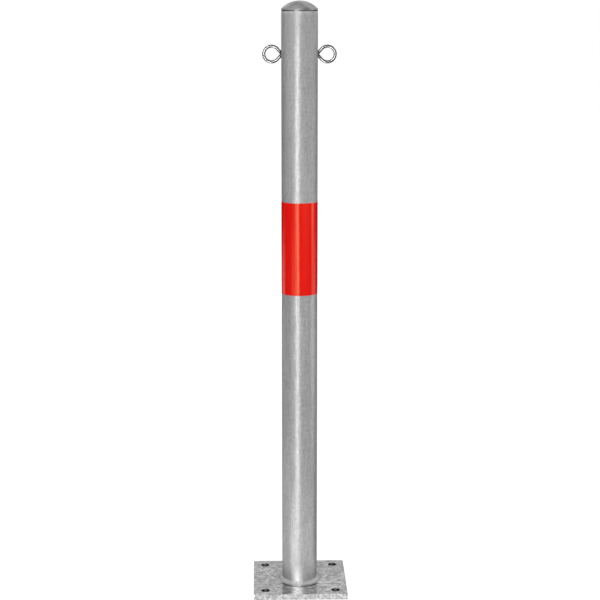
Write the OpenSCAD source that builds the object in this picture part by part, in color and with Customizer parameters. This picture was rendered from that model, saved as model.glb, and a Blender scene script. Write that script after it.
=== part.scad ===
// Bolt-down bollard: a round tube welded on a square base plate, with a domed cap,
// a coloured film band and two bar eyes. Millimetres, Z up. The origin is the centre of
// the plate's underside, and the eyes lie to the left and right, along X.

/* [Base plate] */
// Side of the square plate
plate_w = 160; // [130:1:240]
// Thickness of the plate
plate_t = 10; // [6:0.5:15]
// Radius of the plate's four upright corners
plate_corner_r = 3; // [1:0.5:8]
// Bevel dressed on the plate's top and bottom edges
plate_bevel = 0.8; // [0.3:0.1:1.5]
// Distance from the plate's edge to the centre of a fixing hole
hole_inset = 20; // [15:0.5:24]
// Diameter of the four fixing holes
hole_d = 14; // [10:0.5:18]
// Diameter of the drain hole under the tube
drain_d = 25; // [12:0.5:40]

/* [Post tube] */
// Outer diameter of the tube
tube_d = 60; // [50:1:76]
// Wall of the tube
tube_wall = 2.5; // [2:0.1:5]
// Length of the tube
tube_len = 973; // [700:1:1200]
// Bevel on the tube's outer edge at its top end
tube_bevel = 0.4; // [0.2:0.1:0.8]

/* [Foot weld] */
// Leg of the fillet weld along the plate
foot_leg_out = 7.5; // [4:0.25:9]
// Leg of the fillet weld up the tube
foot_leg_up = 4; // [3:0.25:9]
// Height of the bead's crown over a straight fillet
foot_crown = 1; // [0.2:0.1:1.5]
// Depth of the ripples between one pool of weld and the next
foot_ripple = 0.45; // [0:0.05:0.8]
// Number of weld pools round the tube
foot_pools = 46; // [20:1:60]

/* [Top cap] */
// Height of the shadow groove between the tube's end and the cap's rim
groove_h = 1; // [0.5:0.1:2]
// Depth of the shadow groove, measured from the tube's outside
groove_deep = 0.7; // [0.5:0.1:1.6]
// Height of the cap's upright rim
rim_h = 3; // [2:0.1:8]
// Height of the dome over the rim
dome_h = 13; // [8:0.5:25]
// Rounding between the rim and the dome
rim_round = 0.8; // [0.3:0.1:1.5]
// Thickness of the dome's shell and of the spigot's wall
cap_wall = 3; // [2:0.1:5]
// Length of the spigot inside the tube
spigot_len = 20; // [10:0.5:40]
// Clearance between the spigot and the tube's bore
spigot_clear = 0.3; // [0.1:0.05:0.6]
// Bevel that leads the spigot's tip into the bore
spigot_lead = 1; // [0.5:0.1:2]
// Radius of the crush ribs on the spigot
crush_rib_r = 1.2; // [0.8:0.1:2]
// Clearance that is left between the crushed ribs and the bore
rib_clear = 0.05; // [0.02:0.01:0.1]
// Number of crush ribs
crush_ribs = 6; // [3:1:12]

/* [Film band] */
// Height of the band's lower edge over the ground
band_z = 516.5; // [100:0.5:600]
// Height of the band
band_h = 155; // [50:1:250]
// Thickness of the film
film_t = 0.3; // [0.1:0.05:0.6]
// Width over which the film's end laps its start at the back
band_lap = 12; // [5:1:30]

/* [Chain eyes] */
// Thickness of the bar that an eye is bent from
bar_d = 5; // [3:0.5:8]
// Clear inside diameter of an eye
eye_id = 20.5; // [14:0.5:40]
// Space between the ring and the tube
eye_gap = 0.5; // [0.3:0.1:3]
// Distance from the tube's top end down to the eyes' centres
eye_drop = 69; // [40:1:300]
// Height between the eye's centre plane and the middle of each mitred bar end
mitre_z = 1.25; // [0.5:0.05:2]
// Leg of the weld collar round an eye's root
eye_weld_leg = 1.7; // [1:0.1:3]

/* [Hidden] */

$fn = 96;

zinc = [0.67, 0.68, 0.69];
bright_zinc = [0.80, 0.81, 0.82];
weld_grey = [0.73, 0.74, 0.74];
cast_grey = [0.60, 0.60, 0.60];
signal_red = [0.88, 0.07, 0.07];

// How far a cutting tool runs past the face that it cuts
over = 1;

tube_r = tube_d / 2;
bore_r = tube_r - tube_wall;
tube_foot_z = plate_t;
tube_top_z = tube_foot_z + tube_len;
hole_pitch = plate_w - 2 * hole_inset;

// The dome is part of a ball that rises dome_h over the rim's top edge
rim_top_z = tube_top_z + groove_h + rim_h;
ball_r = (tube_r * tube_r + dome_h * dome_h) / (2 * dome_h);
ball_z = rim_top_z + dome_h - ball_r;
round_x = tube_r - rim_round;
round_z = ball_z + sqrt(pow(ball_r - rim_round, 2) - round_x * round_x);

// The spigot hangs from the cap into the tube, and the cap is hollow from its tip up
spigot_r = bore_r - spigot_clear;
spigot_tip_z = tube_top_z - spigot_len;
hollow_r = spigot_r - cap_wall;

// The eye: a ring whose two ends run on straight to the tube and close to a point
bar_r = bar_d / 2;
ring_r = eye_id / 2 + bar_r;
ring_x = tube_r + eye_gap + ring_r + bar_r;
eye_z = tube_top_z - eye_drop;
root_dx = ring_x - tube_r;
root_dist = sqrt(root_dx * root_dx + mitre_z * mitre_z);
leg_turn = atan(mitre_z / root_dx) + acos(ring_r / root_dist);
leg_len = sqrt(root_dist * root_dist - ring_r * ring_r) + bar_d;

// A flat square with four round corners
module plate_outline() {
    flat = plate_w - 2 * plate_corner_r;
    square([plate_w, flat], center = true);
    square([flat, plate_w], center = true);
    for (x = [-1, 1], y = [-1, 1])
        translate([x * flat / 2, y * flat / 2])
            circle(r = plate_corner_r);
}

// The plate's section, bevelled at its four edges, run across the whole plate
module bevelled_slab() {
    half = plate_w / 2;
    b = plate_bevel;
    rotate([90, 0, 0])
        linear_extrude(height = plate_w + 2 * over, center = true)
            polygon([[-half + b, 0], [half - b, 0], [half, b], [half, plate_t - b],
                     [half - b, plate_t], [-half + b, plate_t], [-half, plate_t - b], [-half, b]]);
}

module base_plate() {
    color(zinc)
        difference() {
            intersection() {
                linear_extrude(height = plate_t) plate_outline();
                bevelled_slab();
                rotate(90) bevelled_slab();
            }
            for (x = [-1, 1], y = [-1, 1])
                translate([x * hole_pitch / 2, y * hole_pitch / 2, -over])
                    cylinder(d = hole_d, h = plate_t + 2 * over);
            translate([0, 0, -over])
                cylinder(d = drain_d, h = plate_t + 2 * over);
        }
}

module post_tube() {
    color(zinc)
        translate([0, 0, tube_foot_z])
            rotate_extrude()
                polygon([[bore_r, 0], [tube_r, 0], [tube_r, tube_len - tube_bevel],
                         [tube_r - tube_bevel, tube_len], [bore_r, tube_len]]);
}

// The foot weld is a closed skin of sections, one at each step round the tube. In a section
// t runs from 0, at the toe on the plate, to 1, at the toe on the tube.
foot_steps = foot_pools * 5;
foot_rows = 7;

// The skin's inner wall has flats that come as near to the round tube as weld_seat
weld_seat = 0.01;
foot_bore_r = (tube_r + weld_seat) / cos(180 / foot_steps);

// The legs swell and shrink a little round the tube, as a hand-laid bead does, and the leg on
// the plate is widest at the front, where the bead's start and end lie over each other
function foot_front(a) = -0.14 * sin(a);
function foot_out(a) =
    foot_leg_out * (1 + foot_front(a) + 0.045 * sin(3 * a + 20) + 0.03 * sin(7 * a));
function foot_up(a) = foot_leg_up * (1 + 0.05 * sin(2 * a + 70) + 0.035 * sin(5 * a + 30));

// One pool of weld is a crest between two valleys, and its edge trails back at the toes
function foot_pool(a, t) = abs(sin(foot_pools / 2 * a + 55 * pow(2 * t - 1, 2)));
function foot_swell(a, t) = sin(180 * t) * (foot_crown - foot_ripple * (1 - foot_pool(a, t)));
function foot_point(a, t) =
    let (out = foot_out(a), up = foot_up(a), slope = atan(out / up), swell = foot_swell(a, t))
    [foot_bore_r + out * (1 - t) + swell * cos(slope), up * t + swell * sin(slope)];
function foot_section(a) = concat(
    [[foot_bore_r, 0]],
    [for (i = [0 : foot_rows - 1]) foot_point(a, i / (foot_rows - 1))]);

// A skin over closed sections of equal length that follow each other round a ring
module ring_skin(sections) {
    n = len(sections);
    m = len(sections[0]);
    points = [for (s = sections) for (p = s) p];
    faces = [for (i = [0 : n - 1]) for (j = [0 : m - 1])
        let (i2 = (i + 1) % n, j2 = (j + 1) % m)
        for (f = [[i * m + j, i2 * m + j2, i2 * m + j], [i * m + j, i * m + j2, i2 * m + j2]]) f];
    polyhedron(points = points, faces = faces);
}

module foot_weld() {
    color(weld_grey)
        translate([0, 0, tube_foot_z])
            ring_skin([for (k = [0 : foot_steps - 1])
                let (a = 360 * k / foot_steps)
                [for (p = foot_section(a)) [p[0] * cos(a), p[0] * sin(a), p[1]]]]);
}

// Half section of the cap's outside over its rim: ball, rounded corner and upright rim
module dome_section() {
    foot = tube_top_z + groove_h;
    intersection() {
        union() {
            intersection() {
                translate([0, ball_z]) circle(r = ball_r, $fn = 180);
                square([round_x, rim_top_z + dome_h + over]);
            }
            translate([round_x, round_z]) circle(r = rim_round);
            translate([round_x - over, foot]) square([rim_round + over, round_z - foot]);
        }
        translate([0, foot]) square([tube_r, rim_h + dome_h]);
    }
}

module cap_section() {
    seat_r = tube_r - groove_deep;
    difference() {
        union() {
            dome_section();
            translate([0, tube_top_z]) square([seat_r, groove_h + over]);
            polygon([[0, spigot_tip_z], [spigot_r - spigot_lead, spigot_tip_z],
                     [spigot_r, spigot_tip_z + spigot_lead], [spigot_r, tube_top_z + over],
                     [0, tube_top_z + over]]);
        }
        translate([0, spigot_tip_z - over]) {
            square([hollow_r, max(0, ball_z - spigot_tip_z) + over]);
            intersection() {
                translate([0, ball_z - spigot_tip_z + over])
                    circle(r = ball_r - cap_wall, $fn = 180);
                square([hollow_r, spigot_len + groove_h + rim_h + dome_h]);
            }
        }
    }
}

module top_cap() {
    color(cast_grey) {
        rotate_extrude() cap_section();
        for (k = [0 : crush_ribs - 1])
            rotate(360 / crush_ribs * (k + 0.5))
                translate([bore_r - rib_clear - crush_rib_r, 0, spigot_tip_z + 2 * spigot_lead])
                    cylinder(r = crush_rib_r, h = spigot_len - 3 * spigot_lead, $fn = 32);
    }
}

module reflective_band() {
    lap_turn = band_lap / tube_r * 180 / PI;
    reach = 2 * tube_r;
    color(signal_red)
        translate([0, 0, band_z])
            linear_extrude(height = band_h)
                difference() {
                    union() {
                        circle(r = tube_r + film_t);
                        intersection() {
                            circle(r = tube_r + 2 * film_t);
                            polygon([[0, 0], reach * [sin(-lap_turn / 2), cos(lap_turn / 2)],
                                     reach * [sin(lap_turn / 2), cos(lap_turn / 2)]]);
                        }
                    }
                    circle(r = tube_r);
                }
}

// A bar eye on the right of the tube: ring, then the two straight legs down to the tube
module eye_bar() {
    translate([ring_x, 0, eye_z])
        rotate([90, 0, 0]) {
            rotate([0, 0, 180 + leg_turn])
                rotate_extrude(angle = 360 - 2 * leg_turn)
                    translate([ring_r, 0]) circle(r = bar_r);
            for (side = [-1, 1])
                rotate([0, 0, 180 - side * leg_turn])
                    translate([ring_r, 0, 0])
                        rotate([side * -90, 0, 0])
                            cylinder(r = bar_r, h = leg_len);
        }
}

// The tube's outside where the eyes and their collars are cut to sit on it
module tube_at_eyes() {
    translate([0, 0, eye_z - eye_id])
        cylinder(r = tube_r, h = 2 * eye_id, $fn = 720);
}

module eye() {
    color(bright_zinc)
        difference() {
            eye_bar();
            tube_at_eyes();
        }
}

module eye_right() {
    eye();
}

module eye_left() {
    mirror([1, 0, 0]) eye();
}

// The collar round an eye's root: rings of points that step out from the tube and draw in
collar_steps = 32;
collar_rows = 5;
root_half_z = mitre_z + bar_r / sin(leg_turn);

function collar_ring(out, spread) = [for (k = [0 : collar_steps - 1])
    let (a = 360 * k / collar_steps, uneven = 1 + 0.06 * sin(3 * a + 40) + 0.04 * sin(8 * a))
    [tube_r + out, (bar_r + spread * uneven) * cos(a), (root_half_z + spread * uneven) * sin(a)]];

module collar_blob() {
    rings = concat(
        [collar_ring(-eye_weld_leg, eye_weld_leg)],
        [for (i = [0 : collar_rows - 1])
            let (q = 90 * i / (collar_rows - 1))
            collar_ring(eye_weld_leg * sin(q), eye_weld_leg * (cos(q) * 0.9 + 0.1))]);
    n = len(rings);
    m = collar_steps;
    points = [for (r = rings) for (p = r) p];
    skin = [for (i = [0 : n - 2]) for (k = [0 : m - 1])
        let (k2 = (k + 1) % m)
        for (f = [[i * m + k, (i + 1) * m + k, (i + 1) * m + k2],
                  [i * m + k, (i + 1) * m + k2, i * m + k2]]) f];
    first = [[for (k = [0 : m - 1]) k]];
    last = [[for (k = [m - 1 : -1 : 0]) (n - 1) * m + k]];
    translate([0, 0, eye_z])
        polyhedron(points = points, faces = concat(skin, first, last));
}

module eye_weld() {
    color(weld_grey)
        difference() {
            collar_blob();
            tube_at_eyes();
            eye_bar();
        }
}

module eye_weld_right() {
    eye_weld();
}

module eye_weld_left() {
    mirror([1, 0, 0]) eye_weld();
}

base_plate();
post_tube();
foot_weld();
top_cap();
reflective_band();
eye_left();
eye_right();
eye_weld_left();
eye_weld_right();
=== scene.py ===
"""Looks of the bolt-down bollard: galvanised post on a square plate, domed cap, red film band
and a bar eye on each side. Metres, Z up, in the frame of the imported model."""

import math

import bmesh
import bpy
from mathutils import Matrix, Vector


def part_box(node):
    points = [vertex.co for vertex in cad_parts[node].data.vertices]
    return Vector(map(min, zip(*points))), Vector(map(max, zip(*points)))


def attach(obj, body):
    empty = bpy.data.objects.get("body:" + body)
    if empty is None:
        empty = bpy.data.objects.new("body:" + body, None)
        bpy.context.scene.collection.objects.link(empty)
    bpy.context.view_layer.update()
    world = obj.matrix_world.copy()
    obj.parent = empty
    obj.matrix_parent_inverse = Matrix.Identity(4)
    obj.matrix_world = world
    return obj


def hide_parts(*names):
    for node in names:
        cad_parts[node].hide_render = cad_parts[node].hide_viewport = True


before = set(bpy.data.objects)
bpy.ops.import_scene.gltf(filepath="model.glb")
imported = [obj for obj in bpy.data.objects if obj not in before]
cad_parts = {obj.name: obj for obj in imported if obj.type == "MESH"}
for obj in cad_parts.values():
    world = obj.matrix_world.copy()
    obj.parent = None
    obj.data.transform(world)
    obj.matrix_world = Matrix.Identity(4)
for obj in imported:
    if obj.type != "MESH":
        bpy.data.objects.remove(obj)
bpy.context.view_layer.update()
scene = bpy.context.scene
mm = 0.001


# Camera. It stands two and a half metres in front of the post, a hand's width to the left,
# level with the post's head, and looks a little down at its middle.
camera_place = Vector((-66.6, -2465.6, 977.1)) * mm
camera_pitch = math.radians(10.86)
camera_yaw = math.radians(1.565)
focal_length_px = 1486.7
frame_width_px = 600

camera_data = bpy.data.cameras.new("camera")
camera_data.sensor_width = 36.0
camera_data.lens = camera_data.sensor_width * focal_length_px / frame_width_px
camera = bpy.data.objects.new("camera", camera_data)
camera.location = camera_place
camera.rotation_euler = (math.pi / 2 - camera_pitch, 0.0, -camera_yaw)
scene.collection.objects.link(camera)
scene.camera = camera
scene.view_settings.view_transform = "Standard"


# Studio. A pale floor runs back under a white surround. Soft boxes stand round the post, the
# brightest in front of it and a little to the left. Dark cloth and lit cards between them are
# there for what metal and gloss mirror.
class Signal:
    """An output of a node. Arithmetic on it adds the Math nodes that work the value out."""

    def __init__(self, socket):
        self.socket = socket

    def _math(self, operation, first, second):
        return NodeSheet(self.socket.node.id_data).fn(operation, first, second)

    def __add__(self, other):
        return self._math("ADD", self, other)

    def __radd__(self, other):
        return self._math("ADD", other, self)

    def __sub__(self, other):
        return self._math("SUBTRACT", self, other)

    def __rsub__(self, other):
        return self._math("SUBTRACT", other, self)

    def __mul__(self, other):
        return self._math("MULTIPLY", self, other)

    def __rmul__(self, other):
        return self._math("MULTIPLY", other, self)

    def __truediv__(self, other):
        return self._math("DIVIDE", self, other)

    def __rtruediv__(self, other):
        return self._math("DIVIDE", other, self)

    def __pow__(self, other):
        return self._math("POWER", self, other)

    def __rpow__(self, other):
        return self._math("POWER", other, self)


class NodeSheet:
    """A node tree that is filled one node at a time."""

    def __init__(self, tree):
        self.tree = tree

    def add(self, kind, settings=None, values=(), out=0):
        """Adds a node, with its settings first and then the values or links of its sockets,
        and returns one of its outputs."""
        node = self.tree.nodes.new(kind)
        for name, value in (settings or {}).items():
            setattr(node, name, value)
        pairs = values.items() if isinstance(values, dict) else enumerate(values)
        for key, value in pairs:
            if isinstance(value, Signal):
                self.tree.links.new(value.socket, node.inputs[key])
            else:
                node.inputs[key].default_value = value
        return Signal(node.outputs[out]) if node.outputs else node

    def fn(self, operation, *values):
        """One Math node."""
        return self.add("ShaderNodeMath", {"operation": operation}, list(values))


def grey(level):
    """A neutral colour, 0 to 1."""
    return (level, level, level, 1.0)


def in_view(sheet):
    """1 for what is seen, straight or in metal, gloss or glass, and 0 for what only lights."""
    return (sheet.add("ShaderNodeLightPath", out="Is Camera Ray")
            + sheet.add("ShaderNodeLightPath", out="Is Glossy Ray")
            + sheet.add("ShaderNodeLightPath", out="Is Transmission Ray"))


def ground_sheet(name, half, z, material):
    """A flat square that lies level under the post, in metres."""
    mesh = bpy.data.meshes.new(name)
    mesh.from_pydata([(-half, -half, z), (half, -half, z), (half, half, z), (-half, half, z)],
                     [], [(0, 1, 2, 3)])
    mesh.materials.append(material)
    square = bpy.data.objects.new(name, mesh)
    scene.collection.objects.link(square)


# The surround looks white, and lights the post more weakly than it looks.
surround_light = 0.55
world = bpy.data.worlds.new("surround")
scene.world = world
world.use_nodes = True
world.node_tree.nodes.clear()
sky = NodeSheet(world.node_tree)
strength = surround_light + (1.0 - surround_light) * in_view(sky)
white = sky.add("ShaderNodeBackground", values={"Color": grey(1.0), "Strength": strength})
sky.add("ShaderNodeOutputWorld", values={"Surface": white})

# The floor glows where it is seen, and keeps a share of the shadow that the post throws on it.
floor_tone = 0.80
floor_glow = 1.15
floor_shadow_share = 0.18
floor_half = 30.0
floor_z = -0.2 * mm
floor_paint = bpy.data.materials.new("pale_floor")
floor_paint.use_nodes = True
floor_paint.node_tree.nodes.clear()
paint = NodeSheet(floor_paint.node_tree)
lit = paint.add("ShaderNodeBsdfDiffuse", values={"Color": grey(floor_tone)})
pale = paint.add("ShaderNodeEmission", values={"Color": grey(1.0), "Strength": floor_glow})
glow_share = in_view(paint) * (1 - floor_shadow_share)
mixed = paint.add("ShaderNodeMixShader", values=[glow_share, lit, pale])
paint.add("ShaderNodeOutputMaterial", values={"Surface": mixed})
ground_sheet("studio_floor", floor_half, floor_z, floor_paint)


def area_lamp(name, width, height, place, turn, glow, mirrored):
    """A flat lamp. Glow is how bright it looks, where 1 is white. Metal mirrors it or not."""
    lamp = bpy.data.lights.new(name, "AREA")
    lamp.shape = "RECTANGLE"
    lamp.size = width
    lamp.size_y = height
    lamp.energy = glow * math.pi * lamp.size * lamp.size_y
    box = bpy.data.objects.new(name, lamp)
    box.location = place
    box.rotation_euler = turn
    box.visible_camera = False
    box.visible_glossy = mirrored
    scene.collection.objects.link(box)


def soft_box(name, azimuth, distance, width, low, high, glow, mirrored=True):
    """An upright lamp that faces the post. Azimuth 0 is in front, and positive to the right."""
    turn = math.radians(azimuth)
    place = (math.sin(turn) * distance, -math.cos(turn) * distance, (low + high) / 2)
    area_lamp(name, width, high - low, place, (math.pi / 2, 0.0, turn), glow, mirrored)


soft_box("key_core", azimuth=-14, distance=2.3, width=0.26, low=0.25, high=1.4, glow=9.1)
soft_box("key_flank", azimuth=-24, distance=2.3, width=0.36, low=0.0, high=1.7, glow=2.6)
soft_box("fill", azimuth=36, distance=3.0, width=1.8, low=0.0, high=1.7, glow=1.42,
         mirrored=False)
soft_box("side_fill", azimuth=90, distance=2.6, width=1.0, low=0.3, high=1.9, glow=1.8)
soft_box("high_front", azimuth=-8, distance=2.4, width=2.0, low=1.25, high=2.3, glow=1.3,
         mirrored=False)
soft_box("back_light", azimuth=178, distance=2.9, width=1.1, low=0.0, high=1.7, glow=3.0,
         mirrored=False)
area_lamp("overhead", width=1.6, height=1.6, place=(-0.3, -0.5, 2.6), turn=(0.0, 0.0, 0.0),
          glow=2.0, mirrored=False)


def screen(name, first, last, section, tone, glow=0.0):
    """A matt screen swept round the post from one azimuth to another, whose section is points
    of (distance, height). Only metal and gloss see it: it hides and shades nothing. One with
    a glow stands for the light that a lamp throws on it."""
    steps = 24
    points = []
    for k in range(steps + 1):
        turn = math.radians(first + (last - first) * k / steps)
        points += [(math.sin(turn) * away, -math.cos(turn) * away, z) for away, z in section]
    count = len(section)
    faces = [(k * count + j, (k + 1) * count + j, (k + 1) * count + j + 1, k * count + j + 1)
             for k in range(steps) for j in range(count - 1)]
    cloth = bpy.data.materials.new(name)
    cloth.use_nodes = True
    shader = cloth.node_tree.nodes["Principled BSDF"]
    shader.inputs["Base Color"].default_value = grey(tone)
    shader.inputs["Roughness"].default_value = 1.0
    shader.inputs["Specular IOR Level"].default_value = 0.0
    shader.inputs["Emission Color"].default_value = grey(1.0)
    shader.inputs["Emission Strength"].default_value = glow
    mesh = bpy.data.meshes.new(name)
    mesh.from_pydata(points, [], faces)
    mesh.materials.append(cloth)
    standing = bpy.data.objects.new(name, mesh)
    standing.visible_camera = False
    standing.visible_diffuse = False
    standing.visible_shadow = False
    scene.collection.objects.link(standing)


# Dark cloth hangs in front and lies on the floor there. Lit strips of that floor carry the bright
# line of the post down to its foot and lift its left flank. Lit cards carry the line up to its
# head and along the eyes, and a faint one lifts the right flank.
screen("curtain", -108, 82, [(0.55, 0.002), (7.0, 0.002), (7.0, 5.0), (0.02, 5.0)], tone=0.03)
screen("lit_floor", -24, -5, [(0.5, 0.004), (2.2, 0.004)], tone=0.1, glow=4.4)
screen("lit_floor_near", -58, -1, [(0.115, 0.004), (0.5, 0.004)], tone=0.1, glow=2.9)
screen("lit_floor_left", -140, -58, [(0.115, 0.004), (1.1, 0.004)], tone=0.1, glow=0.65)
screen("lit_card", -1, 5, [(2.2, 1.1), (2.2, 2.0)], tone=0.1, glow=1.3)
screen("key_head", -20, -8, [(2.25, 1.4), (2.25, 2.0)], tone=0.1, glow=8.0)
screen("pale_card", 14, 66, [(3.0, 0.16), (3.0, 1.7)], tone=0.1, glow=0.22)
# Dark cards at the sides, overhead and behind darken the edges of the tube and of the eyes. The
# plate mirrors the pale backdrop.
screen("card_left", -162, -138, [(1.5, 0.0), (1.5, 1.2)], tone=0.01)
screen("card_right", 118, 162, [(1.5, 0.0), (1.5, 1.2)], tone=0.01)
screen("side_left", -138, -100, [(2.2, 0.55), (2.2, 2.2)], tone=0.02)
screen("side_right", 78, 118, [(2.2, 0.55), (2.2, 2.2)], tone=0.02)
screen("card_above", 82, 252, [(1.7, 2.6), (0.02, 3.3)], tone=0.02)
screen("mat_behind", 95, 265, [(0.12, 0.003), (2.0, 0.003)], tone=0.01)
screen("wall_behind", 95, 265, [(2.98, 0.12), (2.98, 0.95)], tone=0.01)
screen("backdrop", 160, 200, [(2.98, 0.95), (2.98, 2.0)], tone=0.80)
# The plate mirrors the foot of the tube, and in it the high card. The film mirrors the low ones.
screen("high_card", -95, 6, [(6.4, 2.2), (6.4, 3.2)], tone=0.1, glow=0.9)
screen("low_card", -52, -24, [(2.25, 0.004), (2.25, 0.24)], tone=0.1, glow=1.3)
screen("low_core", -14, -5, [(2.24, 0.004), (2.24, 0.25)], tone=0.1, glow=7.0)

# The ground under the plate is in the dark. A black mat a little smaller than the plate stands
# for it, and shows only through the holes.
mat_half = 0.079
mat_z = -0.1 * mm
mat_black = bpy.data.materials.new("under_plate")
mat_black.use_nodes = True
mat_black.node_tree.nodes["Principled BSDF"].inputs["Base Color"].default_value = grey(0.015)
ground_sheet("under_plate", mat_half, mat_z, mat_black)


# Post tube. Round welded steel tube, cut square at both ends and hot-dip galvanised: a matt
# grey coat with fine drag lines along the tube, small crystals and a faint orange peel.
class Finish(NodeSheet):
    """A material with one Principled shader, fed from nodes or set by plain numbers."""

    def __init__(self, name):
        self.material = bpy.data.materials.new(name)
        self.material.use_nodes = True
        super().__init__(self.material.node_tree)
        self.shader = self.tree.nodes["Principled BSDF"]

    def feed(self, **inputs):
        """Sets the shader's sockets by their names, each to a number, a colour or a signal."""
        for name, value in inputs.items():
            socket = self.shader.inputs[name.replace("_", " ").title().replace("Ior", "IOR")]
            if isinstance(value, Signal):
                self.tree.links.new(value.socket, socket)
            else:
                socket.default_value = value

    def place(self, stretch=(1.0, 1.0, 1.0)):
        """A point on the piece in millimetres, drawn out or squeezed along the axes."""
        point = self.add("ShaderNodeTexCoord", out="Object")
        scale = [1.0 / (mm * s) for s in stretch]
        return self.add("ShaderNodeMapping", values={"Vector": point, "Scale": scale})

    def axes(self):
        """The X, Y and Z of a point on the piece, in millimetres."""
        return [self.add("ShaderNodeSeparateXYZ", values=[self.place()], out=axis)
                for axis in "XYZ"]

    def fade(self, value, start, end, low=0.0, high=1.0):
        """Low before the start and high past the end, with a soft step between."""
        return self.add("ShaderNodeMapRange", {"interpolation_type": "SMOOTHSTEP"},
                        {0: value, 1: start, 2: end, 3: low, 4: high})

    def cloud(self, size, detail=2.0, rough=0.5, stretch=(1.0, 1.0, 1.0)):
        """Soft noise, 0 to 1, whose patches are about `size` millimetres across."""
        return self.add("ShaderNodeTexNoise", {"noise_dimensions": "3D"},
                        {"Vector": self.place(stretch), "Scale": 1.0 / size,
                         "Detail": detail, "Roughness": rough})

    def crystals(self, size):
        """One value, 0 to 1, for each crystal of the zinc, about `size` millimetres across."""
        cell = self.add("ShaderNodeTexVoronoi", {"feature": "F1"},
                        {"Vector": self.place(), "Scale": 1.0 / size, "Randomness": 1.0},
                        out="Color")
        return self.add("ShaderNodeSeparateColor", values=[cell])

    def blend(self, factor, low, high):
        """A colour between two colours."""
        return self.add("ShaderNodeMix", {"data_type": "RGBA"},
                        {0: factor, 6: low, 7: high}, out=2)

    def relief(self, height, depth, under=None):
        """A Bump node. Height is 0 to 1, and depth is the height of 1 in millimetres."""
        values = {"Height": height, "Distance": depth * mm, "Strength": 1.0}
        if under is not None:
            values["Normal"] = under
        return self.add("ShaderNodeBump", values=values)


def zinc_coat(name, tone, contrast, metal, streak_stretch, grain_depth, peel_depth, roughness):
    """Hot-dip galvanising. Streaks are drawn out along the way that the steel was rolled."""
    coat = Finish(name)
    grain = coat.cloud(1.4, detail=3.0, rough=0.65)
    peel = coat.cloud(5.0, detail=2.0, rough=0.55)
    mottle = coat.cloud(4.5, detail=3.0, rough=0.6)
    patches = coat.cloud(45.0, detail=3.0, rough=0.55)
    streaks = coat.cloud(1.8, detail=3.0, rough=0.6, stretch=streak_stretch)
    crystal = coat.crystals(3.6)
    mix = 0.5
    for share, layer in ((0.8, grain), (0.5, mottle), (0.25, patches), (1.0, streaks),
                         (0.2, crystal)):
        mix = mix + share * (layer - 0.5)
    coat.colour = coat.blend(mix, grey(tone * (1 - contrast)), grey(tone * (1 + contrast)))
    coat.feed(
        base_color=coat.colour,
        metallic=metal,
        roughness=roughness + 0.16 * (peel - 0.5) + 0.16 * (mottle - 0.5),
        normal=coat.relief(grain, grain_depth, coat.relief(peel, peel_depth)),
    )
    return coat


def painted_front_highlight(coat):
    """Where a painted highlight runs down the front of the foot, 0 to 1: a pale strip that stands
    for the post's bright line and its reflection in the plate.
    """
    highlight_x = -4.5
    full_within, none_past = 4.0, 13.0
    x, y = coat.axes()[:2]
    off_highlight = coat.fn("ABSOLUTE", x - highlight_x)
    return coat.fade(off_highlight, none_past, full_within) * coat.fn("LESS_THAN", y, 0.0)


def link(name, mesh, material, slot, *replaced):
    """Puts a finished mesh in the scene as a piece that stands for CAD nodes."""
    piece = bpy.data.objects.new(name, mesh)
    scene.collection.objects.link(piece)
    mesh.materials.clear()
    mesh.materials.append(material)
    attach(piece, "root")
    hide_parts(*replaced)


def turned(name, outlines):
    """One closed skin round the Z axis. Outlines are closed lists of (radius, height) points in
    millimetres, all of one length, with one for each step of the turn."""
    points, faces = [], []
    count, steps = len(outlines[0]), len(outlines)
    for k, outline in enumerate(outlines):
        turn = 2 * math.pi * k / steps
        points += [(r * mm * math.cos(turn), r * mm * math.sin(turn), z * mm) for r, z in outline]
        here, there = k * count, (k + 1) % steps * count
        for j in range(count):
            j2 = (j + 1) % count
            faces.append((here + j, there + j, there + j2, here + j2))
    mesh = bpy.data.meshes.new(name)
    mesh.from_pydata(points, [], faces)
    return tidy(mesh)


merge_gap = 0.002
crease_angle = 35


def tidy(mesh, crease=crease_angle):
    """Merges doubled points, turns the faces outwards, and shades all but sharp edges smooth."""
    work = bmesh.new()
    work.from_mesh(mesh)
    bmesh.ops.remove_doubles(work, verts=work.verts, dist=merge_gap * mm)
    bmesh.ops.dissolve_degenerate(work, edges=work.edges, dist=merge_gap / 2 * mm)
    bmesh.ops.recalc_face_normals(work, faces=work.faces)
    work.to_mesh(mesh)
    work.free()
    mesh.shade_smooth()
    mesh.set_sharp_from_angle(angle=math.radians(crease))
    return mesh


tube_low, tube_high = (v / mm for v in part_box("post_tube"))
tube_r = tube_high.x
tube_wall = 2.5
tube_foot, tube_top = tube_low.z, tube_high.z
tube_edge = 0.4
tube_steps = 256
bore_r = tube_r - tube_wall

tube_profile = [(bore_r, tube_foot), (tube_r, tube_foot), (tube_r, tube_top - tube_edge),
                (tube_r - 0.3 * tube_edge, tube_top - 0.3 * tube_edge),
                (tube_r - tube_edge, tube_top), (bore_r, tube_top)]
tube_coat = zinc_coat("tube_zinc", tone=0.41, contrast=0.36, metal=0.38,
                      streak_stretch=(1.0, 1.0, 14.0), grain_depth=0.03, peel_depth=0.18,
                      roughness=0.35)
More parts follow.
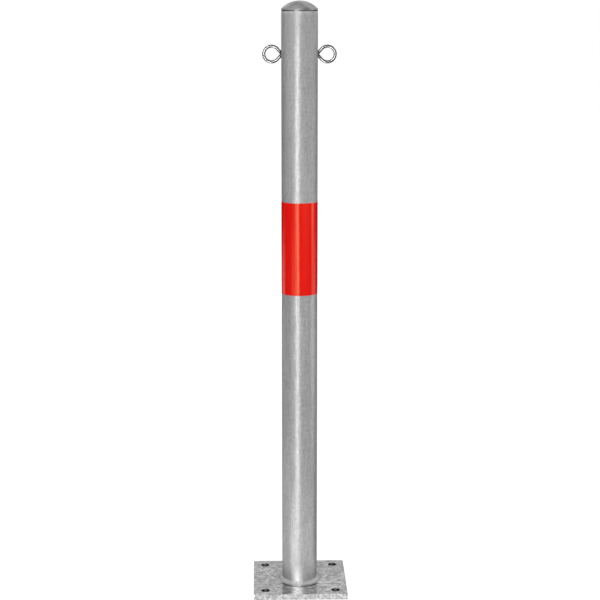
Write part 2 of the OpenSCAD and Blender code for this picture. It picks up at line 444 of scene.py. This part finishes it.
# Painted highlight: the colour is paler in patches near the cut end, and in a strip up the front
# of the foot.
tube_z = tube_coat.axes()[2]
end_painted_highlight = tube_coat.fade(tube_z, tube_top - 7.0, tube_top - 1.0, 0.0, 0.6) \
    * tube_coat.fade(tube_coat.cloud(9.0), 0.3, 0.6)
end_highlighted = tube_coat.blend(end_painted_highlight, tube_coat.colour, grey(0.66))
tube_painted_highlight = painted_front_highlight(tube_coat) * tube_coat.fade(tube_z, tube_foot + 40.0, tube_foot + 4.0)
tube_coat.feed(base_color=tube_coat.blend(tube_painted_highlight, end_highlighted, grey(0.82)))
link("post_tube_galvanised", turned("post_tube_galvanised", [tube_profile] * tube_steps),
     tube_coat.material, "tube_zinc", "post_tube")


# Base plate. A square of flat steel bar with four fixing holes and a drain hole, its edges
# dressed before galvanising, with mill lines across its top and a rougher cut down its sides.
plate_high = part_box("base_plate")[1] / mm
plate_half = plate_high.x
plate_t = plate_high.z
plate_corner = 3.0
plate_edge = 0.8
hole_place = plate_half - 20.0
hole_r = 7.0
drain_r = 12.5


def plate_loop(points, curve):
    """Adds one closed outline of millimetre points to a flat curve."""
    loop = curve.splines.new("POLY")
    loop.points.add(len(points) - 1)
    for point, (x, y) in zip(loop.points, points):
        point.co = (x * mm, y * mm, 0.0, 1.0)
    loop.use_cyclic_u = True


def arc(x, y, r, start, end, steps):
    """Points along an arc, its ends included, with angles in degrees."""
    turns = [math.radians(start + (end - start) * k / steps) for k in range(steps + 1)]
    return [(x + r * math.cos(t), y + r * math.sin(t)) for t in turns]


def circle(x, y, r, steps):
    """Evenly spaced points round a circle, without a second one where it closes."""
    return arc(x, y, r, 0, 360 - 360 / steps, steps - 1)


outline_curve = bpy.data.curves.new("plate_outline", "CURVE")
outline_curve.dimensions = "2D"
outline_curve.fill_mode = "BOTH"
outline_curve.extrude = (plate_t / 2 - plate_edge) * mm
outline_curve.bevel_depth = plate_edge * mm
outline_curve.bevel_resolution = 3
outline_curve.offset = -plate_edge * mm
inner = plate_half - plate_corner
outline = []
for quarter, (sx, sy) in enumerate(((1, 1), (-1, 1), (-1, -1), (1, -1))):
    outline += arc(sx * inner, sy * inner, plate_corner, quarter * 90, quarter * 90 + 90, 16)
plate_loop(outline, outline_curve)
for sx in (-1, 1):
    for sy in (-1, 1):
        plate_loop(circle(sx * hole_place, sy * hole_place, hole_r, 48), outline_curve)
plate_loop(circle(0, 0, drain_r, 64), outline_curve)
outline_object = bpy.data.objects.new("plate_outline", outline_curve)
scene.collection.objects.link(outline_object)
bpy.context.view_layer.update()
depsgraph = bpy.context.evaluated_depsgraph_get()
plate_mesh = bpy.data.meshes.new_from_object(outline_object.evaluated_get(depsgraph))
bpy.data.objects.remove(outline_object)
plate_mesh.transform(Matrix.Translation((0.0, 0.0, plate_t / 2 * mm)))

plate_metal = 0.82
plate_coat = zinc_coat("plate_zinc", tone=0.76, contrast=1.0, metal=plate_metal,
                       streak_stretch=(9.0, 1.0, 1.0), grain_depth=0.03, peel_depth=0.10,
                       roughness=0.20)
# Mill lines a few millimetres wide run across the top. The cut sides took a thick bright coat.
plate_x, plate_y, plate_z = plate_coat.axes()
mill = plate_coat.cloud(5.0, detail=3.0, rough=0.6, stretch=(5.0, 1.0, 1.0))
blotch = plate_coat.cloud(9.0, detail=3.0, rough=0.65)
worn = plate_coat.fade(mill + 0.8 * (blotch - 0.5), 0.62, 0.30, 0.0, 0.75)
rolled = plate_coat.blend(worn, plate_coat.colour, grey(0.30))
aside, ahead = plate_coat.fn("ABSOLUTE", plate_x), plate_coat.fn("ABSOLUTE", plate_y)
outermost = plate_coat.fn("MAXIMUM", aside, ahead)
on_side = plate_coat.fn("GREATER_THAN", outermost, plate_half - plate_edge / 2)
side_mottle = 0.5 + 3.8 * (plate_coat.cloud(4.5, detail=3.0, rough=0.65) - 0.5)
side_colour = plate_coat.blend(side_mottle, grey(0.34), grey(0.74))
# Painted shade: the walls of the drilled holes are painted dark and dull, darkest at the two ends
# of what shows of them.
hole_aside, hole_ahead = aside - hole_place, ahead - hole_place
off_hole = (hole_aside ** 2.0 + hole_ahead ** 2.0) ** 0.5
in_hole = plate_coat.fn("LESS_THAN", off_hole, hole_r + 0.15) \
    * plate_coat.fn("LESS_THAN", plate_z, plate_t - 0.5)
hole_shade_ends = plate_coat.fade(plate_coat.fn("ABSOLUTE", hole_aside), 1.0, 4.5)
hole_painted_shade = plate_coat.blend(hole_shade_ends, grey(0.20), grey(0.004))
# Painted shade: a dark line is painted on the plate round the front of the weld, where the toe of
# the bead shades it.
shade_line_r = 34.4
shade_line_shift = 11.3
shade_line_off_middle = (plate_x ** 2.0 + (plate_y + shade_line_shift) ** 2.0) ** 0.5
off_shade_line = plate_coat.fn("ABSOLUTE", shade_line_off_middle - shade_line_r)
toe_painted_shade = plate_coat.fade(off_shade_line, 3.4, 1.2, 0.0, 0.85) \
    * plate_coat.fade(plate_y, -20.0, -36.0)
# Painted reflection: a pale, less metallic strip on the plate in front of the foot stands for the
# tube's bright line mirrored in it.
plate_painted_reflection = painted_front_highlight(plate_coat) * plate_coat.fade(plate_coat.cloud(6.0, detail=3.0), 0.2, 0.6)
plate_painted_light = plate_coat.blend(toe_painted_shade, plate_coat.blend(plate_painted_reflection, rolled, grey(0.80)), grey(0.05))
with_sides = plate_coat.blend(on_side, plate_painted_light, side_colour)
plate_coat.feed(base_color=plate_coat.blend(in_hole, with_sides, hole_painted_shade),
                metallic=(plate_metal - 0.5 * plate_painted_reflection) * (1 - on_side) * (1 - in_hole))
# A small crease angle keeps the shading of the dressed edge off the flat top.
link("base_plate_galvanised", tidy(plate_mesh, crease=8), plate_coat.material, "plate_zinc",
     "base_plate")


# Weld beads. Each is a fillet laid by hand, pool after pool, and galvanised with the rest: one
# round the foot of the tube, and a small one round the root of each eye.
class Shaper(NodeSheet):
    """A Geometry Nodes tree with named inputs, which ends in real geometry of one material."""

    def __init__(self, name, numbers, objects=()):
        super().__init__(bpy.data.node_groups.new(name, "GeometryNodeTree"))
        panel = self.tree.interface
        for number in numbers:
            panel.new_socket(number, in_out="INPUT", socket_type="NodeSocketFloat")
        for thing in objects:
            panel.new_socket(thing, in_out="INPUT", socket_type="NodeSocketObject")
        panel.new_socket("Material", in_out="INPUT", socket_type="NodeSocketMaterial")
        panel.new_socket("Geometry", in_out="OUTPUT", socket_type="NodeSocketGeometry")
        source = self.add("NodeGroupInput").socket.node
        self.given = {socket.name: Signal(socket) for socket in source.outputs if socket.name}

    def end(self, geometry):
        """Makes the geometry real, gives it the material and hands it out."""
        real = self.add("GeometryNodeRealizeInstances", values={"Geometry": geometry})
        coated = self.add("GeometryNodeSetMaterial",
                          values={"Geometry": real, "Material": self.given["Material"]})
        self.add("NodeGroupOutput", values=[coated])
        return self.tree


def bead_tree():
    """Geometry nodes that wrap a fillet with ripples round an oval, in millimetres."""
    names = ("Half Width", "Half Height", "Leg Out", "Leg Up", "Front Share", "Crown", "Ripple",
             "Pools", "Wrap Radius", "Seat")
    sheet = Shaper("weld_bead", names)
    half_width, half_height, leg_out, leg_up, front, crown, ripple, pools, wrap, seat = (
        sheet.given[name] for name in names)

    fn = sheet.fn
    rows = 14
    steps_a_pool = 12
    steps = pools * steps_a_pool
    grid = sheet.add("GeometryNodeMeshGrid",
                     values={"Size X": 1.0, "Size Y": 1.0, "Vertices X": steps + 1,
                             "Vertices Y": rows + 2})
    spot = sheet.add("GeometryNodeInputPosition")
    round_share = sheet.add("ShaderNodeSeparateXYZ", values=[spot], out="X") + 0.5
    up_share = sheet.add("ShaderNodeSeparateXYZ", values=[spot], out="Y") + 0.5
    row = fn("ROUND", up_share * (rows + 1))
    # The rows climb the bead's face from its toe to its top. The last but one lies at the root,
    # and the last is the toe again, which closes the skin.
    inside = fn("COMPARE", row, rows, 0.1)
    t = fn("LESS_THAN", row, rows - 0.5) * (row / (rows - 1))
    turn = round_share * (2 * math.pi)

    def wave(count, phase):
        return fn("SINE", turn * count + phase)

    # A hand never lays two pools alike, so the legs and the ripples wander a little.
    out = leg_out * (1 - front * wave(1, 0.0) + 0.045 * wave(3, 0.35) + 0.03 * wave(7, 0.0))
    up = leg_up * (1 + 0.05 * wave(2, 1.22) + 0.035 * wave(5, 0.52))
    trail = 0.96 * (2 * t - 1) ** 2.0
    hand = 0.22 * wave(4, 1.0) + 0.15 * wave(9, 2.0)
    pool = fn("ABSOLUTE", fn("SINE", turn * pools / 2 + trail + hand))
    swell = fn("SINE", t * math.pi) * (crown - ripple * (1 - pool))
    slope = fn("ARCTAN2", out, up)
    spread = (seat + out * (1 - t) + swell * fn("COSINE", slope)) * (1 - inside) + seat * inside
    rise = (up * t + swell * fn("SINE", slope)) * (1 - inside)
    x = (half_width + spread) * fn("COSINE", turn)
    y = (half_height + spread) * fn("SINE", turn)
    # The seat of a collar bends back with the tube that it lies on.
    sag = wrap - fn("SQRT", wrap * wrap - x * x)
    at = sheet.add("ShaderNodeCombineXYZ", values=[x * mm, y * mm, (rise - sag) * mm])
    wrapped = sheet.add("GeometryNodeSetPosition", values={"Geometry": grid, "Position": at})
    closed = sheet.add("GeometryNodeMergeByDistance",
                       values={"Geometry": wrapped, "Distance": merge_gap * mm})
    return sheet.end(closed)


def grown(name, tree, values):
    """The plain mesh that a Geometry Nodes tree makes from its named inputs."""
    seed = bpy.data.objects.new(name, bpy.data.meshes.new(name))
    scene.collection.objects.link(seed)
    modifier = seed.modifiers.new("nodes", "NODES")
    modifier.node_group = tree
    for item in tree.interface.items_tree:
        if item.in_out == "INPUT" and item.name in values:
            modifier[item.identifier] = values[item.name]
    bpy.context.view_layer.update()
    graph = bpy.context.evaluated_depsgraph_get()
    mesh = bpy.data.meshes.new_from_object(seed.evaluated_get(graph))
    bpy.data.objects.remove(seed)
    return tidy(mesh)


weld_coat = zinc_coat("weld_zinc", tone=0.57, contrast=0.4, metal=0.4,
                      streak_stretch=(1.0, 1.0, 1.0), grain_depth=0.025, peel_depth=0.07,
                      roughness=0.34)
# Painted shade: the foot bead is painted dark at its toe, most of all in front. Painted
# highlight: it is paler in a strip down its front. The collars of the eyes are dark.
weld_y, weld_z = weld_coat.axes()[1:]
weld_toe_painted_shade = weld_coat.fade(weld_z, tube_foot + 0.7, tube_foot + 0.1, 0.0, 0.6) \
    * weld_coat.fade(weld_y, -8.0, -26.0, 0.2, 1.0)
half_way_up = 500.0
on_collar = weld_coat.fn("GREATER_THAN", weld_z, half_way_up)
weld_painted_highlight = weld_coat.blend(0.7 * painted_front_highlight(weld_coat), weld_coat.colour, grey(0.85))
weld_shaded = weld_coat.blend(weld_toe_painted_shade, weld_painted_highlight, grey(0.05))
weld_coat.feed(base_color=weld_coat.blend(on_collar, weld_shaded, grey(0.10)))
bead = bead_tree()
as_good_as_flat = 1.0e5
foot_mesh = grown("foot_weld_bead", bead, {
    "Half Width": tube_r, "Half Height": tube_r, "Leg Out": 7.5, "Leg Up": 4.0,
    "Front Share": 0.14, "Crown": 1.0, "Ripple": 0.45, "Pools": 46.0,
    "Wrap Radius": as_good_as_flat, "Seat": 0.01, "Material": weld_coat.material})
foot_mesh.transform(Matrix.Translation((0.0, 0.0, tube_foot * mm)))
link("foot_weld_bead", foot_mesh, weld_coat.material, "weld_zinc", "foot_weld")


# Chain eyes. Each is one round bar bent to a ring whose two ends run straight to the tube and
# close to a point there, bright and smooth from the zinc bath, with a small weld at the root.
eye_low, eye_high = (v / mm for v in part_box("eye_right"))
bar_r = eye_high.y
eye_z = (eye_low.z + eye_high.z) / 2
ring_r = (eye_high.z - eye_low.z) / 2 - bar_r
ring_x = eye_high.x - ring_r - bar_r
mitre_z = 1.25
leg_sunk = 0.8
root_reach = math.hypot(ring_x - tube_r, mitre_z)
leg_turn = math.atan2(mitre_z, ring_x - tube_r) + math.acos(ring_r / root_reach)
leg_len = math.sqrt(root_reach ** 2 - ring_r ** 2) + leg_sunk


def eye_path():
    """The middle line of a right-hand eye, as points in the XZ plane in millimetres."""
    ring_steps, leg_steps = 72, 6
    start, end = math.pi + leg_turn, 3 * math.pi - leg_turn
    ring = []
    for k in range(ring_steps + 1):
        turn = start + (end - start) * k / ring_steps
        ring.append((ring_x + ring_r * math.cos(turn), eye_z + ring_r * math.sin(turn)))

    def leg(foot, dx, dz):
        """Points along a straight leg from one end of the ring towards the tube."""
        reach = [leg_len * k / leg_steps for k in range(1, leg_steps + 1)]
        return [(foot[0] + dx * out, foot[1] + dz * out) for out in reach]

    head = leg(ring[0], math.sin(start), -math.cos(start))
    tail = leg(ring[-1], -math.sin(end), math.cos(end))
    return head[::-1] + ring + tail


def bar_tree():
    """Geometry nodes that sweep a round bar along a path of points, in metres."""
    sheet = Shaper("bent_bar", ("Bar Radius",), ("Path",))
    line = sheet.add("GeometryNodeObjectInfo", {"transform_space": "ORIGINAL"},
                     {"Object": sheet.given["Path"]}, out="Geometry")
    ring = sheet.add("GeometryNodeCurvePrimitiveCircle",
                     values={"Resolution": 32, "Radius": sheet.given["Bar Radius"]})
    swept = sheet.add("GeometryNodeCurveToMesh",
                      values={"Curve": line, "Profile Curve": ring, "Fill Caps": True})
    return sheet.end(swept)


bar_coat = Finish("bar_zinc")
bar_cloud = bar_coat.cloud(3.5, detail=2.0)
bar_grain = bar_coat.cloud(0.8, detail=2.0)
# The bar is darker near its root at the tube. Painted shade and highlight: the bar's inner and
# outer faces, which make its outlines seen from the front, are painted dark, and its front and
# back crests light.
bar_x, bar_y = bar_coat.axes()[:2]
dark_root = bar_coat.fade(bar_coat.fn("ABSOLUTE", bar_x), tube_r + 4.5, tube_r + 1.0)
painted_crest = bar_coat.fade(bar_coat.fn("ABSOLUTE", bar_y), 2.15, 2.46)
bar_painted_light = bar_coat.blend(painted_crest, grey(0.32), bar_coat.blend(bar_cloud, grey(0.62), grey(0.72)))
bar_coat.feed(
    base_color=bar_coat.blend(dark_root, bar_painted_light, grey(0.06)),
    metallic=0.9,
    specular_tint=grey(0.1),
    roughness=0.16 + 0.08 * (bar_cloud - 0.5),
    normal=bar_coat.relief(bar_grain, 0.004, bar_coat.relief(bar_cloud, 0.008)),
)

path_curve = bpy.data.curves.new("eye_path", "CURVE")
path_curve.dimensions = "3D"
path_points = eye_path()
spline = path_curve.splines.new("POLY")
spline.points.add(len(path_points) - 1)
for point, (x, z) in zip(spline.points, path_points):
    point.co = (x * mm, 0.0, z * mm, 1.0)
path_object = bpy.data.objects.new("eye_path", path_curve)
scene.collection.objects.link(path_object)
bent_bar = bar_tree()

# A collar is as tall as the two legs where they meet the tube. Its bead is made lying down, and
# then stood up against the right side of the tube.
root_half_z = mitre_z + bar_r / math.sin(leg_turn)
stand = Matrix(((0, 0, 1, 0), (1, 0, 0, 0), (0, 1, 0, 0), (0, 0, 0, 1)))
to_root = Matrix.Translation((tube_r * mm, 0.0, eye_z * mm)) @ stand

# The left eye is the right one mirrored, which turns it inside out, so it is tidied again.
for side, label in ((1, "right"), (-1, "left")):
    flip = Matrix.Scale(side, 4, (1.0, 0.0, 0.0))
    bar_mesh = grown("chain_eye_" + label, bent_bar, {
        "Bar Radius": bar_r * mm, "Path": path_object, "Material": bar_coat.material})
    bar_mesh.transform(flip)
    link("chain_eye_" + label, tidy(bar_mesh), bar_coat.material, "bar_zinc", "eye_" + label)
    collar_mesh = grown("eye_weld_bead_" + label, bead, {
        "Half Width": bar_r * 0.9, "Half Height": root_half_z, "Leg Out": 1.7, "Leg Up": 1.7,
        "Front Share": 0.0, "Crown": 0.25, "Ripple": 0.12, "Pools": 12.0,
        "Wrap Radius": tube_r, "Seat": 0.0, "Material": weld_coat.material})
    collar_mesh.transform(to_root)
    collar_mesh.transform(flip)
    link("eye_weld_bead_" + label, tidy(collar_mesh), weld_coat.material, "weld_zinc",
         "eye_weld_" + label)
bpy.data.objects.remove(path_object)


# Top cap. A light-metal casting, turned over its dome, whose hollow spigot is driven into the
# tube. Its rim stands a little clear of the tube's end, which leaves a thin dark groove.
cap_low, cap_high = (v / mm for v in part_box("top_cap"))
groove_h = 1.0
groove_deep = 0.7
rim_h = 3.0
rim_round = 0.8
rim_ease = 0.2
cap_wall = 3.0
cap_steps = 192
spigot_clear = 0.3
spigot_lead = 1.0
dome_foot = tube_top + groove_h
dome_h = cap_high.z - dome_foot - rim_h
ball_r = (tube_r ** 2 + dome_h ** 2) / (2 * dome_h)
ball_z = cap_high.z - ball_r
corner_x = tube_r - rim_round
corner_z = ball_z + math.sqrt((ball_r - rim_round) ** 2 - corner_x ** 2)
lean = math.degrees(math.asin(corner_x / (ball_r - rim_round)))
spigot_r = bore_r - spigot_clear
hollow_r = spigot_r - cap_wall
hollow_lean = math.degrees(math.asin(hollow_r / (ball_r - cap_wall)))

cap_profile = arc(0.0, ball_z, ball_r, 90.0, 90.0 - lean, 60)
cap_profile += arc(corner_x, corner_z, rim_round, 90.0 - lean, 0.0, 8)[1:]
cap_profile += [(tube_r, dome_foot + rim_ease), (tube_r - rim_ease, dome_foot),
                (tube_r - groove_deep, dome_foot), (tube_r - groove_deep, tube_top),
                (spigot_r, tube_top), (spigot_r, cap_low.z + spigot_lead),
                (spigot_r - spigot_lead, cap_low.z), (hollow_r, cap_low.z)]
cap_profile += arc(0.0, ball_z, ball_r - cap_wall, 90.0 - hollow_lean, 90.0, 24)


def rib_tree():
    """Geometry nodes that stand round ribs in a ring, half sunk in the spigot, in millimetres."""
    names = ("Count", "Ring Radius", "Rib Radius", "Rib Length", "Middle Height")
    sheet = Shaper("crush_ribs", names)
    count, ring, radius, length, middle = (sheet.given[name] for name in names)
    ring_points = sheet.add("GeometryNodePoints", values={"Count": count})
    index = sheet.add("GeometryNodeInputIndex")
    turn = (index + 0.5) * (2 * math.pi) / count
    place = sheet.add("ShaderNodeCombineXYZ", values=[
        ring * mm * sheet.fn("COSINE", turn), ring * mm * sheet.fn("SINE", turn), middle * mm])
    set_out = sheet.add("GeometryNodeSetPosition",
                        values={"Geometry": ring_points, "Position": place})
    rib = sheet.add("GeometryNodeMeshCylinder", values={
        "Vertices": 24, "Radius": radius * mm, "Depth": length * mm}, out="Mesh")
    standing = sheet.add("GeometryNodeInstanceOnPoints",
                         values={"Points": set_out, "Instance": rib})
    return sheet.end(standing)


cap_coat = Finish("cast_cap")
turning = cap_coat.add("ShaderNodeTexWave", {"wave_type": "RINGS", "rings_direction": "Z"},
                       {"Vector": cap_coat.place(), "Scale": 0.42, "Distortion": 0.6,
                        "Detail": 2.0, "Detail Scale": 0.3})
cast_grain = cap_coat.cloud(1.6, detail=3.0, rough=0.6)
cast_patch = cap_coat.cloud(14.0, detail=2.0)
cap_tone = 0.5 + 0.6 * (cast_grain - 0.5) + 1.5 * (cast_patch - 0.5) + 0.25 * (turning - 0.5)
cap_light = cap_coat.blend(cap_tone, grey(0.22), grey(0.48))
# Painted shade: the groove under the rim is painted dark. It is a little lighter just right of
# the middle, and a painted highlight lightens it just left of the middle.
cap_x, cap_y, cap_z = cap_coat.axes()
below_rim = cap_coat.fn("LESS_THAN", cap_z, dome_foot + 0.4)
groove_painted_highlight = cap_coat.fade(cap_coat.fn("ABSOLUTE", cap_x + 5.5), 5.5, 2.0)
groove_shade_lighter = cap_coat.fade(cap_coat.fn("ABSOLUTE", cap_x - 10.0), 12.0, 9.0)
groove_painted_shade = cap_coat.blend(groove_shade_lighter, grey(0.004), grey(0.07))
# Painted shade: a dark patch on the front of the dome, to the right, just above the groove.
off_right_shade = ((cap_x - 12.0) ** 2.0 + (2.2 * (cap_z - dome_foot - 2.0)) ** 2.0) ** 0.5
right_painted_shade = cap_coat.fade(off_right_shade, 10.0, 3.0, 0.0, 0.55) * cap_coat.fn("LESS_THAN", cap_y, 0.0)
cap_shaded_skin = cap_coat.blend(right_painted_shade, cap_light, grey(0.09))
cap_coat.feed(
    base_color=cap_coat.blend(below_rim, cap_shaded_skin, cap_coat.blend(groove_painted_highlight, groove_painted_shade, grey(0.45))),
    metallic=0.35 * (1 - below_rim),
    roughness=0.50 + 0.12 * (cast_patch - 0.5) + 0.3 * below_rim,
    normal=cap_coat.relief(turning, 0.02, cap_coat.relief(cast_grain, 0.03)),
)

# Six crush ribs run down the spigot. They are cast with the cap and lie in its mesh.
crush_ribs = 6
crush_rib_r = 1.2
rib_clear = 0.05
rib_low, rib_high = cap_low.z + 2 * spigot_lead, tube_top - spigot_lead
rib_mesh = grown("crush_ribs", rib_tree(), {
    "Count": float(crush_ribs), "Ring Radius": bore_r - rib_clear - crush_rib_r,
    "Rib Radius": crush_rib_r, "Rib Length": rib_high - rib_low,
    "Middle Height": (rib_low + rib_high) / 2, "Material": cap_coat.material})
cap_mesh = turned("top_cap_cast", [cap_profile] * cap_steps)
both = bmesh.new()
both.from_mesh(cap_mesh)
both.from_mesh(rib_mesh)
both.to_mesh(cap_mesh)
both.free()
cap_mesh.set_sharp_from_angle(angle=math.radians(crease_angle))
link("top_cap_cast", cap_mesh, cap_coat.material, "cast_cap", "top_cap")


# Red band. One strip of glossy film wrapped round the tube and pressed down, with its end
# lapped over its start at the back, square in the middle.
film_low, film_high = (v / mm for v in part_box("reflective_band"))
film_t = 0.3
film_lap = 12.0
lap_step = 0.06
film_steps = 288

# The skin steps out by one thickness where the end lies over the start.
film_outlines = []
for k in range(film_steps):
    off_back = abs(2 * math.pi * k / film_steps - math.pi / 2)
    in_lap = film_lap / tube_r / 2 - off_back
    lapped = min(1.0, max(0.0, in_lap / (lap_step / tube_r) + 0.5))
    outer_r = tube_r + film_t * (1.0 + lapped)
    film_outlines.append([(tube_r, film_low.z), (outer_r, film_low.z),
                          (outer_r, film_high.z), (tube_r, film_high.z)])

deep_red = (0.68, 0.002, 0.002, 1.0)
dusty_red = (0.76, 0.005, 0.005, 1.0)
film_coat = Finish("red_film")
film_wrinkle = film_coat.cloud(9.0, detail=2.0, stretch=(1.0, 1.0, 3.0))
film_dust = film_coat.cloud(1.5, detail=3.0, rough=0.6)
film_coat.feed(
    base_color=film_coat.blend(film_dust, deep_red, dusty_red),
    roughness=0.20 + 0.08 * (film_dust - 0.5),
    specular_ior_level=1.0,
    specular_tint=(1.0, 0.50, 0.28, 1.0),
    normal=film_coat.relief(film_wrinkle, 0.02),
)
link("red_film_band", turned("red_film", film_outlines), film_coat.material, "red_film",
     "reflective_band")
